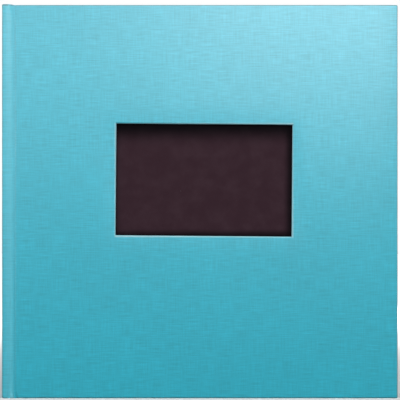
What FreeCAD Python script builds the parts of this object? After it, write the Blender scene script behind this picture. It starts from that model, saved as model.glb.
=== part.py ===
import FreeCAD, Part
import os

import Sketcher

# Twelve-inch cloth-bound scrapbook album, closed and standing on its tail edge.
#
# Axes: +X runs from the spine to the fore edge, +Y from the front cover to the back cover and +Z from
# the tail to the head. The origin is the middle of the album's footprint. All sizes are in millimetres.
#
# The case is three boards in one piece of bookcloth, which is cut here along its two joints because each
# side turns with its own board. Black card leaves are scored along a margin; the margins (stubs) and the
# spacer strips between them are clamped between two hinge flaps by three screw posts, and the flaps hang
# from the covers by cloth strips under the joints. The front cover has a landscape window, with a print
# pocket behind it that holds a black card.

doc = FreeCAD.newDocument("ScrapbookAlbum")
sheet = doc.addObject("Spreadsheet::Sheet", "Sizes")

DRIVING_SIZES = (
    # the case
    ("square", 5.0, "how far the case stands past the leaves at head, tail and fore edge"),
    ("joint_wide", 10.5, "spine's outer face to the covers' near edges"),
    ("joint_deep", 2.3, "how far the cloth dips between spine and cover"),
    ("joint_slope", 5.0, "width of the joint's sloping side, next to the spine"),
    ("board_thick", 2.6, "greyboard of the covers"),
    ("spine_thick", 2.2, "greyboard of the spine"),
    ("board_round", 0.6, "radius of the boards' outer arrises"),
    ("cloth_thick", 0.4, "bookcloth with its glue"),
    ("turn_in", 15.0, "cloth folded over a board's edge onto its inner face"),
    ("lining_thick", 0.3, "paper glued inside the covers"),
    ("lining_margin", 4.0, "turned-in cloth left showing round the lining"),
    # the window and its pocket
    ("window_wide", 142.5, "opening between the cloth edges"),
    ("window_tall", 90.5, "opening between the cloth edges"),
    ("window_right", 3.4, "window's centre, right of the cover's centre"),
    ("window_up", 17.4, "window's centre, above the cover's centre"),
    ("window_margin", 2.0, "cloth left showing round the window on the inner face"),
    ("print_wide", 152.4, "the print that the pocket takes"),
    ("print_tall", 101.6, "the print that the pocket takes"),
    ("print_gap", 0.8, "room beside and under the print"),
    ("card_thick", 0.3, "black card in the pocket"),
    ("card_round", 1.5, "corner radius of the card"),
    ("card_play", 0.1, "room in front of and behind the card"),
    ("tape_wide", 6.0, "mounting tape round three sides of the pocket"),
    ("pocket_thick", 0.3, "the pocket's back sheet"),
    ("notch_wide", 24.0, "finger notch in the pocket's mouth"),
    ("notch_deep", 9.0, "finger notch in the pocket's mouth"),
    # the leaves
    ("leaf_count", 20, "black card leaves"),
    ("leaf_thick", 0.35, "black card of 300 gsm"),
    ("leaf_wide", 311.0, "stub and leaf together"),
    ("leaf_tall", 308.0, "takes a 305 mm sheet"),
    ("spacer_thick", 0.85, "card strip between two stubs"),
    ("stub_wide", 26.0, "clamped margin of a leaf"),
    ("score_gap", 0.35, "scored line between stub and leaf"),
    ("spine_gap", 0.7, "room between spine lining and stubs"),
    # the flaps and posts
    ("flap_thick", 1.2, "hinge flaps, of thin board"),
    ("flap_gap", 1.6, "room between cover and flap, for the post heads"),
    ("flap_round", 3.0, "corner radius at the flaps' free corners"),
    ("hinge_thick", 0.3, "lining cloth of the inner hinges"),
    ("hinge_glued", 5.5, "inner hinge glued to flap and to cover"),
    ("hinge_proud", 0.1, "inner hinge's fold past the flap's spine edge"),
    ("post_in", 13.0, "post's centre from the stub's spine edge"),
    ("post_apart", 108.0, "distance between posts"),
    ("post_wide", 5.0, "outer diameter of the posts"),
    ("post_gap", 0.2, "radial room round the posts in their holes"),
    ("head_wide", 10.0, "diameter of the post and screw heads"),
    ("head_thick", 1.0, "thickness of the heads"),
    ("screw_wide", 3.6, "diameter of the screws' shanks"),
    ("screw_long", 9.0, "length of the screws' shanks"),
    ("screw_gap", 0.05, "radial room round the shanks in the posts"),
    ("slot_wide", 1.2, "screwdriver slot"),
    ("slot_deep", 0.5, "screwdriver slot"),
)


class Size:
    """A length as both a number and the text of a FreeCAD expression on the sheet's cells."""

    def __init__(self, value, text):
        self.value = value
        self.text = text

    @staticmethod
    def of(other):
        return other if isinstance(other, Size) else Size(float(other), repr(float(other)))

    def _with(self, other, sign, value):
        return Size(value, "(" + self.text + sign + other.text + ")")

    def __add__(self, other):
        other = Size.of(other)
        return self._with(other, " + ", self.value + other.value)

    def __sub__(self, other):
        other = Size.of(other)
        return self._with(other, " - ", self.value - other.value)

    def __mul__(self, other):
        other = Size.of(other)
        return self._with(other, " * ", self.value * other.value)

    def __truediv__(self, other):
        other = Size.of(other)
        return self._with(other, " / ", self.value / other.value)

    def __neg__(self):
        return ZERO - self

    def __radd__(self, other):
        return Size.of(other) + self

    def __rmul__(self, other):
        return Size.of(other) * self


ZERO = Size(0.0, "0")


def read_sizes():
    """Fills the sheet and returns {name: Size} with the values that the sheet then holds."""
    for row, (name, number, note) in enumerate(DRIVING_SIZES, start=1):
        sheet.set("A%d" % row, name)
        sheet.set("B%d" % row, str(number))
        sheet.set("C%d" % row, note)
        sheet.setAlias("B%d" % row, name)
    doc.recompute()
    return {name: Size(float(sheet.get(name)), "Sizes." + name) for name, _, _ in DRIVING_SIZES}


def derive(name, size, note):
    """Adds a size that follows from others to the sheet, as a formula, and returns it under its name."""
    row = len(DRIVING_SIZES) + 2 + len(derived)
    derived.append(name)
    sheet.set("A%d" % row, name)
    sheet.set("B%d" % row, "=" + size.text.replace("Sizes.", ""))
    sheet.set("C%d" % row, note)
    sheet.setAlias("B%d" % row, name)
    return Size(size.value, "Sizes." + name)


derived = []
S = read_sizes()
LEAVES = int(S["leaf_count"].value)
POSTS = 3

# Thicknesses, front to back.
COVER_THICK = derive(
    "cover_thick", S["board_thick"] + 2 * S["cloth_thick"] + S["lining_thick"], "a cover with its cloth"
)
PITCH = derive("pitch", S["leaf_thick"] + S["spacer_thick"], "one leaf to the next")
BLOCK_THICK = derive(
    "block_thick", PITCH * S["leaf_count"] - S["spacer_thick"] + 2 * S["flap_thick"], "what the posts clamp"
)
FLAP_AT = derive("flap_at", COVER_THICK + S["flap_gap"], "depth of a flap under its cover's outer face")
HALF_DEEP = derive("half_deep", BLOCK_THICK / 2 + FLAP_AT, "half the closed album's thickness")

# Places across, spine to fore edge, and the overall width that they make.
SPINE_WALL = derive("spine_wall", S["spine_thick"] + 2 * S["cloth_thick"], "spine board with its cloth")
SPINE_ROOM = derive(
    "spine_room", SPINE_WALL + S["lining_thick"] + S["spine_gap"], "spine's outer face to the stubs"
)
CASE_WIDE = derive("case_wide", SPINE_ROOM + S["leaf_wide"] + S["square"], "spine to fore edge")
SPINE_AT = derive("spine_at", -(CASE_WIDE / 2), "the spine's outer face")
FORE_EDGE = derive("fore_edge", CASE_WIDE / 2, "the covers' fore edges")
NEAR_EDGE = derive("near_edge", SPINE_AT + S["joint_wide"], "the covers' near edges")
COVER_WIDE = derive("cover_wide", FORE_EDGE - NEAR_EDGE, "near edge to fore edge")
STUB_AT = derive("stub_at", SPINE_AT + SPINE_ROOM, "the stubs' spine edges")
LEAF_AT = derive("leaf_at", STUB_AT + S["stub_wide"] + S["score_gap"], "the leaves' scored edges")
POST_AT = derive("post_at", STUB_AT + S["post_in"], "the posts' axes")

# Places up, tail to head, and the overall height.
CASE_TALL = derive("case_tall", S["leaf_tall"] + 2 * S["square"], "tail to head")
MIDDLE = derive("middle", CASE_TALL / 2, "half the height")
LEAF_FOOT = S["square"]
WINDOW_X = derive("window_x", S["window_right"] - S["window_wide"] / 2, "the window's spine side")
WINDOW_Z = derive("window_z", MIDDLE + S["window_up"] - S["window_tall"] / 2, "the window's foot")
POCKET_WIDE = derive(
    "pocket_wide", S["print_wide"] + 2 * S["print_gap"] + 2 * S["tape_wide"], "pocket with its tape"
)
POCKET_TALL = derive(
    "pocket_tall", S["print_tall"] + S["print_gap"] + S["tape_wide"], "pocket with its tape"
)
POCKET_X = derive("pocket_x", S["window_right"] - POCKET_WIDE / 2, "the pocket's spine side")
POCKET_Z = derive(
    "pocket_z", MIDDLE + S["window_up"] + S["print_tall"] / 2 - POCKET_TALL, "the pocket's foot"
)
TAPE_THICK = derive("tape_thick", S["card_thick"] + 2 * S["card_play"], "room between cover and sheet")

nodes = {}


def keep(feature, label):
    """Names a finished sub-part, which is exported under its label."""
    feature.Label = label
    nodes[label] = feature
    return feature


def bind(feature, prop, size):
    feature.setExpression(prop, Size.of(size).text)


def place(feature, x, y, z):
    for axis, size in zip("xyz", (x, y, z)):
        bind(feature, "Placement.Base." + axis, size)
    return feature


def box(name, x, y, z, wide, deep, tall):
    """A box with its lowest corner at x, y, z."""
    made = doc.addObject("Part::Box", name)
    for prop, size in (("Length", wide), ("Width", deep), ("Height", tall)):
        bind(made, prop, size)
    return place(made, x, y, z)


def slab(name, side, depth, thick, x, z, wide, tall):
    """A box whose outer face lies at a depth under the front cover (side 1) or the back cover (side -1)."""
    y = depth - HALF_DEEP if side > 0 else HALF_DEEP - depth - thick
    return box(name, x, y, z, wide, thick, tall)


def cut(name, base, tool):
    made = doc.addObject("Part::Cut", name)
    made.Base, made.Tool = base, tool
    return made


def fuse(name, *shapes):
    made = doc.addObject("Part::MultiFuse", name)
    made.Shapes = list(shapes)
    return made


def group(name, shapes):
    made = doc.addObject("Part::Compound", name)
    made.Links = list(shapes)
    return made


def body_at(name, x, y, z):
    return place(doc.addObject("PartDesign::Body", name), x, y, z)


def sketch_on(body, role, name, *loops):
    """A sketch on one of the body's origin planes, of closed outlines of (across, up) sizes."""
    sketch = body.newObject("Sketcher::SketchObject", name)
    plane = [f for f in body.Origin.OriginFeatures if f.Role == role][0]
    sketch.AttachmentSupport = (plane, [""])
    sketch.MapMode = "FlatFace"
    for loop in loops:
        first = sketch.GeometryCount
        ends = [FreeCAD.Vector(Size.of(a).value, Size.of(b).value, 0) for a, b in loop]
        for i, start in enumerate(ends):
            sketch.addGeometry(Part.LineSegment(start, ends[(i + 1) % len(ends)]), False)
        for i in range(len(ends)):
            follower = first + (i + 1) % len(ends)
            sketch.addConstraint(Sketcher.Constraint("Coincident", first + i, 2, follower, 1))
        for i, corner in enumerate(loop):
            for kind, axis, size in zip(("DistanceX", "DistanceY"), (-2, -1), corner):
                size = Size.of(size)
                if size.value == 0:
                    sketch.addConstraint(Sketcher.Constraint("PointOnObject", first + i, 1, axis))
                    continue
                rule = Sketcher.Constraint(kind, -1, 1, first + i, 1, size.value)
                index = sketch.addConstraint(rule)
                sketch.setExpression("Constraints[%d]" % index, size.text)
    return sketch


def rectangle(x, z, wide, tall):
    x, z = Size.of(x), Size.of(z)
    return ((x, z), (x + wide, z), (x + wide, z + tall), (x, z + tall))


def pad(body, sketch, length, reverse=False):
    made = body.newObject("PartDesign::Pad", body.Name + "Pad")
    made.Profile = sketch
    bind(made, "Length", length)
    made.Reversed = reverse
    return made


def pocket(body, sketch, length, reverse=False):
    made = body.newObject("PartDesign::Pocket", body.Name + "Pocket")
    made.Profile = sketch
    bind(made, "Length", length)
    made.Reversed = reverse
    return made


def turned(body, sketch):
    """A full revolution of a half section about the sketch's upright axis."""
    made = body.newObject("PartDesign::Revolution", body.Name + "Turned")
    made.Profile = sketch
    made.ReferenceAxis = (sketch, ["V_Axis"])
    made.Angle = 360
    return made


def rounded(body, feature, radius, wanted):
    """Fillets the edges of a feature whose middle point satisfies wanted."""
    doc.recompute()
    names = [
        "Edge%d" % i
        for i, edge in enumerate(feature.Shape.Edges, start=1)
        if wanted(edge.BoundBox.Center, edge)
    ]
    made = body.newObject("PartDesign::Fillet", body.Name + "Round")
    made.Base = (feature, names)
    bind(made, "Radius", radius)
    return made


def flat_body(name, side, depth, thick, x, z, *loops):
    """A padded sheet or board parallel to the covers, its outer face at a depth under one cover."""
    y = depth - HALF_DEEP if side > 0 else HALF_DEEP - depth
    body = body_at(name, x, y, z)
    sketch = sketch_on(body, "XZ_Plane", name + "Outline", *loops)
    return body, pad(body, sketch, thick, reverse=side > 0)


def lies_at_zero(centre, edge):
    return abs(centre.y) < 1e-4 and edge.BoundBox.YLength < 1e-4


def board_shape(name, side, depth, thick, radius, x, z, wide, tall, hole):
    """A cover board, or the block that it and its cloth fill together, rounded on the outer face."""
    loops = [rectangle(0, 0, wide, tall)]
    if hole:
        loops.append(rectangle(*hole))
    body, plate = flat_body(name, side, depth, thick, x, z, *loops)
    rounded(body, plate, radius, lies_at_zero)
    return body


def cover(name, side, windowed):
    """One cover: board, cloth with its turn-ins, and lining with the card that levels the turn-ins."""
    cloth, turn = S["cloth_thick"], S["turn_in"]
    board_x, board_z = NEAR_EDGE + cloth, cloth
    board_wide, board_tall = COVER_WIDE - 2 * cloth, CASE_TALL - 2 * cloth
    opening = (WINDOW_X - NEAR_EDGE, WINDOW_Z, S["window_wide"], S["window_tall"])
    board_hole = (
        WINDOW_X - cloth - board_x,
        WINDOW_Z - cloth - board_z,
        S["window_wide"] + 2 * cloth,
        S["window_tall"] + 2 * cloth,
    )
    board = board_shape(
        name + "_board", side, cloth, S["board_thick"], S["board_round"],
        board_x, board_z, board_wide, board_tall, board_hole if windowed else None,
    )
    keep(board, name + "_board")
    filled = board_shape(
        name + "_filled", side, ZERO, S["board_thick"] + 2 * cloth, S["board_round"] + cloth,
        NEAR_EDGE, ZERO, COVER_WIDE, CASE_TALL, opening if windowed else None,
    )

    under = S["board_thick"] + cloth
    seat = slab(
        name + "_seat", side, under, cloth,
        board_x, board_z + turn, board_wide - turn, board_tall - 2 * turn,
    )
    paper = slab(
        name + "_paper", side, under + cloth, S["lining_thick"],
        NEAR_EDGE + cloth, S["lining_margin"],
        COVER_WIDE - cloth - S["lining_margin"], CASE_TALL - 2 * S["lining_margin"],
    )
    if windowed:
        frame = slab(
            name + "_window_turn_in", side, under, cloth,
            WINDOW_X - turn, WINDOW_Z - turn,
            S["window_wide"] + 2 * turn, S["window_tall"] + 2 * turn,
        )
        seat = cut(name + "_seat_round_window", seat, frame)
        margin = S["window_margin"]
        hole = slab(
            name + "_paper_hole", side, under + cloth, S["lining_thick"],
            WINDOW_X - margin, WINDOW_Z - margin,
            S["window_wide"] + 2 * margin, S["window_tall"] + 2 * margin,
        )
        paper = cut(name + "_paper_round_window", paper, hole)
    wrapped = cut(name + "_wrapped", filled, board)
    keep(cut(name + "_cloth", wrapped, seat), name + "_cloth")
    keep(fuse(name + "_lining", seat, paper), name + "_lining")


def spine():
    """The spine: board, cloth turned in at head and tail, and lining."""
    cloth, turn = S["cloth_thick"], S["turn_in"]

    def upright(name, x, y, z, wide, deep, tall, radius):
        body = body_at(name, x, y, z)
        outline = sketch_on(body, "XY_Plane", name + "Outline", rectangle(0, 0, wide, deep))
        plate = pad(body, outline, tall)
        rounded(body, plate, radius, lambda centre, edge: centre.x < 1e-4 and edge.BoundBox.YLength < 1e-4)
        return body

    board = upright(
        "spine_board", SPINE_AT + cloth, cloth - HALF_DEEP, cloth,
        S["spine_thick"], 2 * HALF_DEEP - 2 * cloth, CASE_TALL - 2 * cloth, S["board_round"],
    )
    keep(board, "spine_board")
    filled = upright(
        "spine_filled", SPINE_AT, -HALF_DEEP, ZERO,
        SPINE_WALL, 2 * HALF_DEEP, CASE_TALL, S["board_round"] + cloth,
    )
    inner = SPINE_AT + cloth + S["spine_thick"]
    seat = box(
        "spine_seat", inner, cloth - HALF_DEEP, cloth + turn,
        cloth, 2 * HALF_DEEP - 2 * cloth, CASE_TALL - 2 * cloth - 2 * turn,
    )
    margin = S["lining_margin"]
    paper = box(
        "spine_paper", inner + cloth, COVER_THICK - HALF_DEEP, margin,
        S["lining_thick"], 2 * HALF_DEEP - 2 * COVER_THICK, CASE_TALL - 2 * margin,
    )
    wrapped = cut("spine_wrapped", filled, board)
    keep(cut("spine_cloth", wrapped, seat), "spine_cloth")
    keep(fuse("spine_lining", seat, paper), "spine_lining")


def segment(one, two):
    return Part.makeLine(FreeCAD.Vector(*one), FreeCAD.Vector(*two))


def joint_cloth(name, side):
    """The bookcloth that dips in a smooth step from the spine to the foot of a cover's near edge."""
    start = (SPINE_AT + SPINE_WALL).value
    stop = start + S["joint_slope"].value
    end, middle = NEAR_EDGE.value, (start + stop) / 2
    deep, thick = S["joint_deep"].value, S["cloth_thick"].value

    def y(depth):
        return side * (depth - HALF_DEEP.value)

    def face_edges(depth):
        bend = Part.BezierCurve()
        poles = ((start, depth), (middle, depth), (middle, depth + deep), (stop, depth + deep))
        bend.setPoles([FreeCAD.Vector(x, y(level), 0) for x, level in poles])
        return [bend.toShape(), segment((stop, y(depth + deep)), (end, y(depth + deep)))]

    caps = [
        segment((start, y(0.0)), (start, y(thick))),
        segment((end, y(deep)), (end, y(deep + thick))),
    ]
    outline = Part.Wire(Part.__sortEdges__(face_edges(0.0) + face_edges(thick) + caps))
    made = doc.addObject("Part::Feature", name + "_joint_cloth")
    made.Shape = Part.Face(outline).extrude(FreeCAD.Vector(0, 0, CASE_TALL.value))
    keep(made, made.Name)


def inner_hinge(name, side):
    """Lining cloth folded round at the flap's spine edge, with one leg on the flap and one on the cover."""
    thick, radius = S["hinge_thick"], S["flap_gap"] / 2
    fold_x = STUB_AT + radius - S["hinge_proud"]
    fold_y = (COVER_THICK + radius - HALF_DEEP) * side
    bends = []
    for part, size in (("outside", radius), ("inside", radius - thick)):
        bend = doc.addObject("Part::Cylinder", name + "_fold_" + part)
        bind(bend, "Radius", size)
        bind(bend, "Height", S["leaf_tall"])
        bend.Angle = 180
        bend.Placement.Rotation = FreeCAD.Rotation(FreeCAD.Vector(0, 0, 1), 90)
        bends.append(place(bend, fold_x, fold_y, LEAF_FOOT))
    legs = [
        slab(
            name + "_leg_on_" + on, side, depth, thick,
            fold_x, LEAF_FOOT, end - fold_x, S["leaf_tall"],
        )
        for on, depth, end in (
            ("flap", FLAP_AT - thick, fold_x + S["hinge_glued"]),
            ("cover", COVER_THICK, NEAR_EDGE + S["hinge_glued"]),
        )
    ]
    keep(fuse(name + "_inner_hinge", cut(name + "_fold", *bends), *legs), name + "_inner_hinge")


def post_levels():
    """The heights of the posts, in sizes, from tail to head."""
    return [MIDDLE + (i - (POSTS - 1) / 2) * S["post_apart"] for i in range(POSTS)]


def post_holes():
    """Three cylinders through the whole block, a little wider than the posts."""
    drills = []
    for i, level in enumerate(post_levels(), start=1):
        drill = doc.addObject("Part::Cylinder", "drill_%d" % i)
        bind(drill, "Radius", S["post_wide"] / 2 + S["post_gap"])
        bind(drill, "Height", BLOCK_THICK)
        drill.Placement.Rotation = FreeCAD.Rotation(FreeCAD.Vector(1, 0, 0), -90)
        drills.append(place(drill, POST_AT, FLAP_AT - HALF_DEEP, level))
    return fuse("drills", *drills)


def flaps(drills):
    """The two hinge flaps, with rounded corners on their free side."""
    for name, side in (("front_flap", 1), ("back_flap", -1)):
        body, plate = flat_body(
            name + "_blank", side, FLAP_AT, S["flap_thick"], STUB_AT, LEAF_FOOT,
            rectangle(0, 0, S["stub_wide"], S["leaf_tall"]),
        )
        free_side = S["stub_wide"].value
        rounded(
            body, plate, S["flap_round"],
            lambda centre, edge: abs(centre.x - free_side) < 1e-4
            and edge.BoundBox.XLength < 1e-4
            and edge.BoundBox.ZLength < 1e-4,
        )
        keep(cut(name, body, drills), name)


def leaf_depth(index):
    """Depth of a leaf's front face under the front cover, counted from the front at 0."""
    return FLAP_AT + S["flap_thick"] + index * PITCH


def leaves(drills):
    """The leaves, and the stubs and spacer strips that the posts clamp."""
    stubs, spacers = [], []
    for i in range(LEAVES):
        y = leaf_depth(i) - HALF_DEEP
        leaf = box(
            "leaf_%02d" % (i + 1), LEAF_AT, y, LEAF_FOOT,
            S["leaf_wide"] - S["stub_wide"] - S["score_gap"], S["leaf_thick"], S["leaf_tall"],
        )
        keep(leaf, leaf.Name)
        strip = (S["stub_wide"], S["leaf_thick"], S["leaf_tall"])
        stubs.append(box("stub_%02d" % (i + 1), STUB_AT, y, LEAF_FOOT, *strip))
        if i + 1 < LEAVES:
            strip = (S["stub_wide"], S["spacer_thick"], S["leaf_tall"])
            spacers.append(
                box("spacer_%02d" % (i + 1), STUB_AT, y + S["leaf_thick"], LEAF_FOOT, *strip)
            )
    keep(cut("leaf_stubs", group("stub_blanks", stubs), drills), "leaf_stubs")
    keep(cut("spacer_strips", group("spacer_blanks", spacers), drills), "spacer_strips")


def posts():
    """Three screw posts: hollow posts with heads behind, slotted screws from the front."""
    post_r, head_r = S["post_wide"] / 2, S["head_wide"] / 2
    shank_r = S["screw_wide"] / 2
    bore_r = shank_r + S["screw_gap"]
    bore_deep = S["screw_long"] + S["head_thick"]
    total = BLOCK_THICK + S["head_thick"]
    barrels, screws = [], []
    for i, level in enumerate(post_levels(), start=1):
        barrel = body_at("post_barrel_%d" % i, POST_AT, FLAP_AT - HALF_DEEP, level)
        half_section = (
            (bore_r, ZERO), (post_r, ZERO), (post_r, BLOCK_THICK), (head_r, BLOCK_THICK),
            (head_r, total), (ZERO, total), (ZERO, bore_deep), (bore_r, bore_deep),
        )
        turned(barrel, sketch_on(barrel, "XY_Plane", barrel.Name + "Section", half_section))
        barrels.append(barrel)

        screw = body_at("post_screw_%d" % i, POST_AT, FLAP_AT - S["head_thick"] - HALF_DEEP, level)
        end = S["head_thick"] + S["screw_long"]
        half_section = (
            (ZERO, ZERO), (head_r, ZERO), (head_r, S["head_thick"]), (shank_r, S["head_thick"]),
            (shank_r, end), (ZERO, end),
        )
        turned(screw, sketch_on(screw, "XY_Plane", screw.Name + "Section", half_section))
        slot = rectangle(-(S["head_wide"]), -(S["slot_wide"] / 2), 2 * S["head_wide"], S["slot_wide"])
        doc.recompute()
        whole = screw.Shape.Volume
        mark = sketch_on(screw, "XZ_Plane", screw.Name + "Slot", slot)
        pocket(screw, mark, S["slot_deep"], reverse=False)
        doc.recompute()
        if not screw.Shape.Volume < whole:
            raise RuntimeError("the slot cuts nothing from " + screw.Name)
        screws.append(screw)
    keep(group("screw_posts", barrels), "screw_posts")
    keep(group("post_screws", screws), "post_screws")


def print_pocket():
    """The print pocket behind the window: tape round three sides, back sheet, and the black card."""
    tape, gap = S["tape_wide"], S["print_gap"]
    inner_wide = POCKET_WIDE - 2 * tape
    tape_body, _ = flat_body(
        "pocket_tape", 1, COVER_THICK, TAPE_THICK, POCKET_X, POCKET_Z,
        (
            (ZERO, ZERO), (POCKET_WIDE, ZERO), (POCKET_WIDE, POCKET_TALL),
            (tape + inner_wide, POCKET_TALL), (tape + inner_wide, tape), (tape, tape),
            (tape, POCKET_TALL), (ZERO, POCKET_TALL),
        ),
    )
    keep(tape_body, "pocket_tape")

    notch_x = (POCKET_WIDE - S["notch_wide"]) / 2
    notch_z = POCKET_TALL - S["notch_deep"]
    back_sheet, plate = flat_body(
        "pocket_sheet", 1, COVER_THICK + TAPE_THICK, S["pocket_thick"], POCKET_X, POCKET_Z,
        (
            (ZERO, ZERO), (POCKET_WIDE, ZERO), (POCKET_WIDE, POCKET_TALL),
            (notch_x + S["notch_wide"], POCKET_TALL), (notch_x + S["notch_wide"], notch_z),
            (notch_x, notch_z), (notch_x, POCKET_TALL), (ZERO, POCKET_TALL),
        ),
    )
    floor = notch_z.value
    rounded(
        back_sheet, plate, S["notch_deep"] - 1,
        lambda centre, edge: abs(centre.z - floor) < 1e-4
        and edge.BoundBox.XLength < 1e-4
        and edge.BoundBox.ZLength < 1e-4,
    )
    keep(back_sheet, "pocket_sheet")

    card, plate = flat_body(
        "window_card", 1, COVER_THICK + S["card_play"], S["card_thick"],
        POCKET_X + tape + gap, POCKET_Z + tape,
        rectangle(0, 0, S["print_wide"], S["print_tall"]),
    )
    rounded(
        card, plate, S["card_round"],
        lambda centre, edge: edge.BoundBox.XLength < 1e-4 and edge.BoundBox.ZLength < 1e-4,
    )
    keep(card, "window_card")


def check_and_write():
    """Recomputes, stops on any failed object or bad shape, and writes one STEP file per sub-part."""
    doc.recompute()
    for feature in doc.Objects:
        if "Invalid" in feature.State or "Error" in feature.State:
            raise RuntimeError(feature.Name + " failed: " + str(feature.State))
    os.makedirs("parts", exist_ok=True)
    for label, feature in nodes.items():
        shape = feature.Shape
        if shape.isNull() or not shape.isValid() or not shape.Solids:
            raise RuntimeError(label + " has a bad shape")
        shape.exportStep("parts/" + label + ".step")
        room = shape.BoundBox
        print(
            "%-18s solids %2d  volume %10.1f  x %7.2f %7.2f  y %7.2f %7.2f  z %7.2f %7.2f"
            % (label, len(shape.Solids), shape.Volume, room.XMin, room.XMax,
               room.YMin, room.YMax, room.ZMin, room.ZMax)
        )


cover("front", 1, windowed=True)
cover("back", -1, windowed=False)
spine()
for joint_name, joint_side in (("front", 1), ("back", -1)):
    joint_cloth(joint_name, joint_side)
    inner_hinge(joint_name, joint_side)
all_drills = post_holes()
flaps(all_drills)
leaves(all_drills)
posts()
print_pocket()
check_and_write()
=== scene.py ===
"""Looks of the twelve-inch cloth-bound scrapbook album: bookcloth, card leaves, posts, light and camera.

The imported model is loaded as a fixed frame. Every length here is in metres, +X runs from the spine to the
fore edge, +Y from the front cover to the back cover and +Z from the tail to the head.
"""

import logging
import math
from dataclasses import dataclass
from enum import Enum
from typing import Callable, Iterable, Optional, Sequence

import bmesh
import bpy
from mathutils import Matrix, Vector, noise


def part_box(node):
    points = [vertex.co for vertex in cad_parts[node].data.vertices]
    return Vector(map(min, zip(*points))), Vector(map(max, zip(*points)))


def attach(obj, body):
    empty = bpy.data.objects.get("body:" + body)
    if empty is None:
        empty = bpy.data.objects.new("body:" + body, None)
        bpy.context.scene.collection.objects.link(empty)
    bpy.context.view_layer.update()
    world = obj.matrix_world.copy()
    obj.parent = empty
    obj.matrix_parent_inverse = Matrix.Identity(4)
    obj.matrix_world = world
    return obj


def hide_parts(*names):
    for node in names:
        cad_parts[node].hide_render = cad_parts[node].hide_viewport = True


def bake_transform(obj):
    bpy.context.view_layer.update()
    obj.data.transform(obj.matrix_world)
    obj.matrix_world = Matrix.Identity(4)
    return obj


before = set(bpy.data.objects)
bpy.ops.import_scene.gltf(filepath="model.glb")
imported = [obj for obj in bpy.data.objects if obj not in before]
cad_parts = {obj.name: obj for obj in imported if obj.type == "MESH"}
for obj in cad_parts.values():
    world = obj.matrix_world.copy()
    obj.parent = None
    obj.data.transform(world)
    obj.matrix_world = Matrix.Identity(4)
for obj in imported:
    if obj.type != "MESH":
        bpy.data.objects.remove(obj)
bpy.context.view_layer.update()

MM = 0.001
Colour = tuple[float, float, float]
Point = tuple[float, float, float]
log = logging.getLogger("album")


class Side(Enum):
    """Which cover a piece belongs to; the value is the sign of its outer face's way to the middle."""

    FRONT = 1
    BACK = -1

    @property
    def word(self) -> str:
        """The side's name as the CAD nodes and bodies use it."""
        return self.name.lower()


class Body(Enum):
    """The rigid bodies that new pieces ride on."""

    BINDING = "binding"
    FRONT_COVER = "front_cover"
    BACK_COVER = "back_cover"


def cover_body(side: Side) -> str:
    """The body of the cover on a side."""
    return (Body.FRONT_COVER if side is Side.FRONT else Body.BACK_COVER).value


# ---------------------------------------------------------------------------------------------------------
# The bench: work on one mesh with Blender's own operators
# ---------------------------------------------------------------------------------------------------------


def put_down_everything() -> None:
    """Leaves object mode on and nothing selected."""
    if bpy.context.object is not None and bpy.context.object.mode != "OBJECT":
        bpy.ops.object.mode_set(mode="OBJECT")
    bpy.ops.object.select_all(action="DESELECT")


def take_up(piece: bpy.types.Object) -> None:
    """Makes a piece the only selected object.

    Args:
        piece: the object to select.
    """
    put_down_everything()
    piece.select_set(True)
    bpy.context.view_layer.objects.active = piece


def settle(piece: bpy.types.Object) -> None:
    """Moves an object's place, turn and scale into its mesh."""
    take_up(piece)
    bpy.ops.object.transform_apply(location=True, rotation=True, scale=True)


class Bench:
    """Edit mode on one piece, as a context: picks by place or normal, then Blender's operators."""

    def __init__(self, piece: bpy.types.Object) -> None:
        """Args: piece: the mesh object to shape."""
        self.piece = piece

    def __enter__(self) -> "Bench":
        """Opens edit mode with nothing picked.

        Returns:
            The bench.
        """
        take_up(self.piece)
        bpy.ops.object.mode_set(mode="EDIT")
        bpy.ops.mesh.select_all(action="DESELECT")
        return self

    def __exit__(self, *problem: object) -> None:
        """Closes edit mode."""
        bpy.ops.object.mode_set(mode="OBJECT")

    def _mode(self, kind: str) -> bmesh.types.BMesh:
        """Clears the picks and sets the picking mode.

        Args:
            kind: FACE or EDGE.

        Returns:
            The mesh being edited.
        """
        bpy.ops.mesh.select_mode(type=kind)
        bpy.ops.mesh.select_all(action="DESELECT")
        return bmesh.from_edit_mesh(self.piece.data)

    def faces(self, test: Callable[[Vector, Vector], bool]) -> None:
        """Picks faces.

        Args:
            test: says yes to a face's middle and normal.
        """
        mesh = self._mode("FACE")
        for face in [f for f in mesh.faces if test(f.calc_center_median(), f.normal)]:
            face.select_set(True)
        bmesh.update_edit_mesh(self.piece.data)

    def edges(self, test: Callable[[Vector, Vector], bool]) -> None:
        """Picks edges.

        Args:
            test: says yes to an edge's two ends.
        """
        mesh = self._mode("EDGE")
        for edge in [e for e in mesh.edges if test(e.verts[0].co, e.verts[1].co)]:
            edge.select_set(True)
        bmesh.update_edit_mesh(self.piece.data)

    def cut(self, axis: int, places: Iterable[float]) -> None:
        """Cuts the whole piece along planes square to an axis.

        Args:
            axis: 0, 1 or 2 for X, Y or Z.
            places: where the planes cross that axis.
        """
        normal = [0.0, 0.0, 0.0]
        normal[axis] = 1.0
        for place in places:
            point = [0.0, 0.0, 0.0]
            point[axis] = place
            bpy.ops.mesh.select_all(action="SELECT")
            bpy.ops.mesh.bisect(plane_co=point, plane_no=normal)
        bpy.ops.mesh.select_all(action="DESELECT")


def block(name: str, low: Sequence[float], high: Sequence[float]) -> bpy.types.Object:
    """Adds a box between two corners, to be shaped further.

    Args:
        name: the new object's name.
        low: its lowest corner.
        high: its highest corner.

    Returns:
        The box, with its place in its mesh.
    """
    put_down_everything()
    middle = [(a + b) / 2 for a, b in zip(low, high)]
    spans = [b - a for a, b in zip(low, high)]
    bpy.ops.mesh.primitive_cube_add(size=1.0, location=middle, scale=spans)
    made = bpy.context.object
    made.name = made.data.name = name
    settle(made)
    return made


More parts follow.
